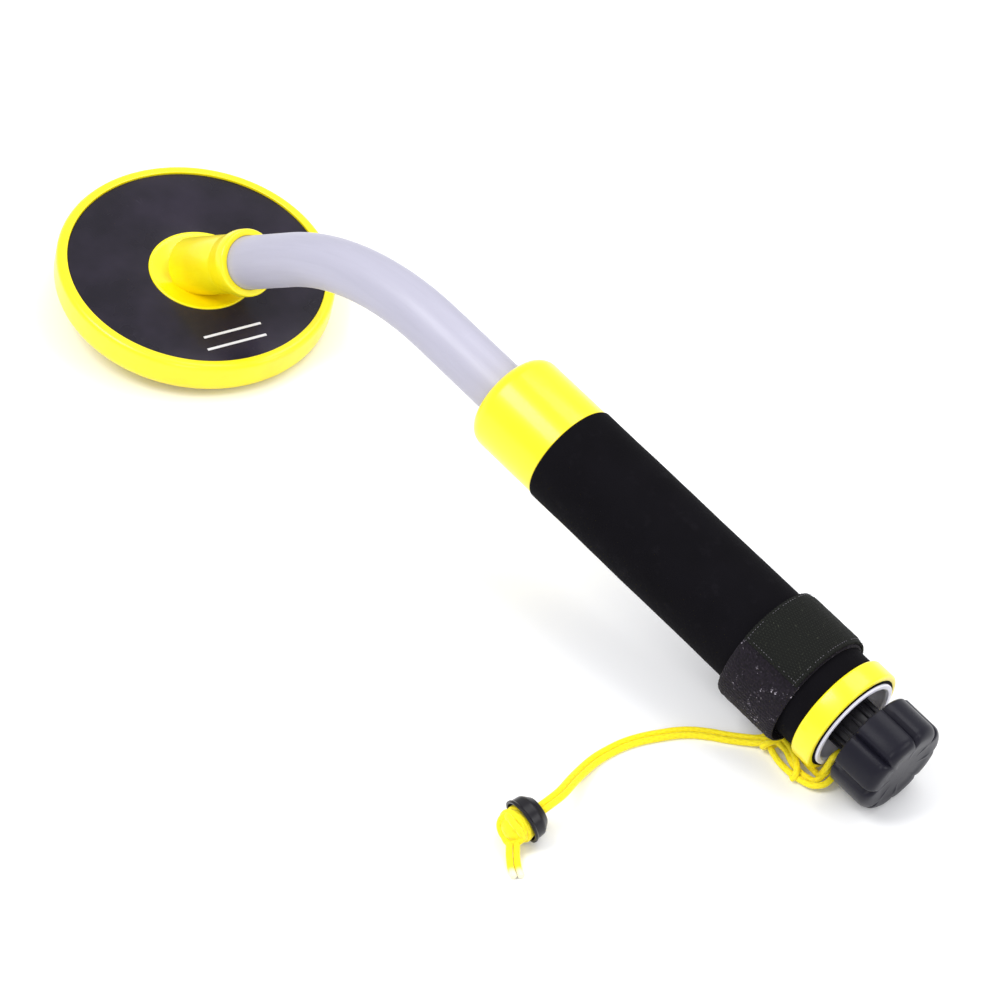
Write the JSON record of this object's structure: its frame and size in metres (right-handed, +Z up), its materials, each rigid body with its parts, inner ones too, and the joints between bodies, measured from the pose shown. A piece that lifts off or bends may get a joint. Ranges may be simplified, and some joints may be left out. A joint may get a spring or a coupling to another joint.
{
  "type": "pinpointer probe",
  "caption": "Hand-held underwater metal-detecting probe: round search coil on a bent tube, sleeved battery handle with a screw-clamped plug, wrist strap and lanyard.",
  "frame": {"origin": "centre of the footprint of the probe without its lanyard, on the table it stands on", "axes": "+Z up, +X from the coil to the knob; the probe stands on the coil's low edge and on the knob, and the coil, tube and handle share the upright plane Y = 0"},
  "size_m": [0.556, 0.2372, 0.11],
  "materials": {
    "yellow_shell": "glossy moulded plastic",
    "plate_black": "smooth dark plate, slightly glossy",
    "copper_wire": "enamelled wire",
    "resin": "cast resin",
    "seal_rubber": "matt rubber",
    "tube_grey": "satin grey conduit",
    "lead_jacket": "matt jacket",
    "nylon_white": "moulded nylon",
    "pipe_white": "satin white pipe",
    "grip_rubber": "matt sleeve",
    "board_green": "solder mask",
    "can_blue": "sleeved cans",
    "chip_black": "moulded package",
    "foam_grey": "open foam",
    "motor_steel": "plated steel",
    "weight_metal": "sintered metal",
    "battery_case": "painted can",
    "snap_black": "soft vinyl",
    "wire_red": "wire insulation",
    "wire_black": "wire insulation",
    "plug_plastic": "moulded nylon",
    "zinc_steel": "zinc plate",
    "knob_plastic": "fine moulded texture",
    "webbing_black": "looped webbing",
    "hook_patch": "hook tape",
    "cord_yellow": "braided cord"
  },
  "bodies": {
    "detector": {"coil_shell": "yellow_shell", "face_plate": "plate_black", "coil_winding": "copper_wire", "coil_potting": "resin", "hub_socket": "yellow_shell", "socket_o_ring": "seal_rubber", "bent_tube": "tube_grey", "coil_lead": "lead_jacket", "lead_seal": "seal_rubber", "lead_connector": "nylon_white", "reducer_collar": "yellow_shell", "collar_o_ring": "seal_rubber", "handle_pipe": "pipe_white", "grip_sleeve": "grip_rubber", "end_ring": "yellow_shell", "circuit_board": "board_green", "capacitors": "can_blue", "chips": "chip_black", "power_transistor": "chip_black", "foam_discs": "foam_grey", "motor_can": "motor_steel", "battery": "battery_case", "battery_snap": "snap_black", "red_lead": "wire_red", "black_lead": "wire_black", "battery_cradle": "foam_grey", "wrist_strap": "webbing_black", "strap_patch": "hook_patch"},
    "plug": {"plug_boss": "plug_plastic", "plug_bung": "seal_rubber", "thrust_washer": "zinc_steel", "lanyard_loop": "cord_yellow", "lanyard_cord": "cord_yellow", "lanyard_tails": "cord_yellow", "lanyard_knot": "cord_yellow"},
    "knob": {"knob": "knob_plastic", "knob_stud": "zinc_steel"},
    "clamp": {"clamp_disc": "plug_plastic", "clamp_nut": "zinc_steel"},
    "rotor": {"motor_shaft": "motor_steel", "motor_weight": "weight_metal"},
    "cup": {"cord_cup": "plug_plastic"}
  },
  "joints": [
    {"name": "plug_pull", "type": "slide", "parent": "detector", "child": "plug", "axis": [0.9749, 0, -0.2228], "range_m": [0, 0.06]},
    {"name": "knob_turn", "type": "hinge", "parent": "plug", "child": "knob", "pos_m": [0.26179, 0, 0.02532], "axis": [0.9749, 0, -0.2228], "range_deg": [0, 900]},
    {"name": "clamp_draw", "type": "slide", "parent": "plug", "child": "clamp", "axis": [0.9749, 0, -0.2228], "range_m": [-0.0032, 0]},
    {"name": "motor_spin", "type": "hinge", "parent": "detector", "child": "rotor", "pos_m": [0.12095, 0, 0.05853], "axis": [0.9749, 0, -0.2228], "continuous": true},
    {"name": "cup_slide", "type": "slide", "parent": "plug", "child": "cup", "axis": [0.135, 0.9609, 0.2419], "range_m": [0, 0.004]}
  ],
  "couplings": [
    {"joint": "clamp_draw", "follows": "knob_turn", "m_per_rad": -0.00019894}
  ]
}
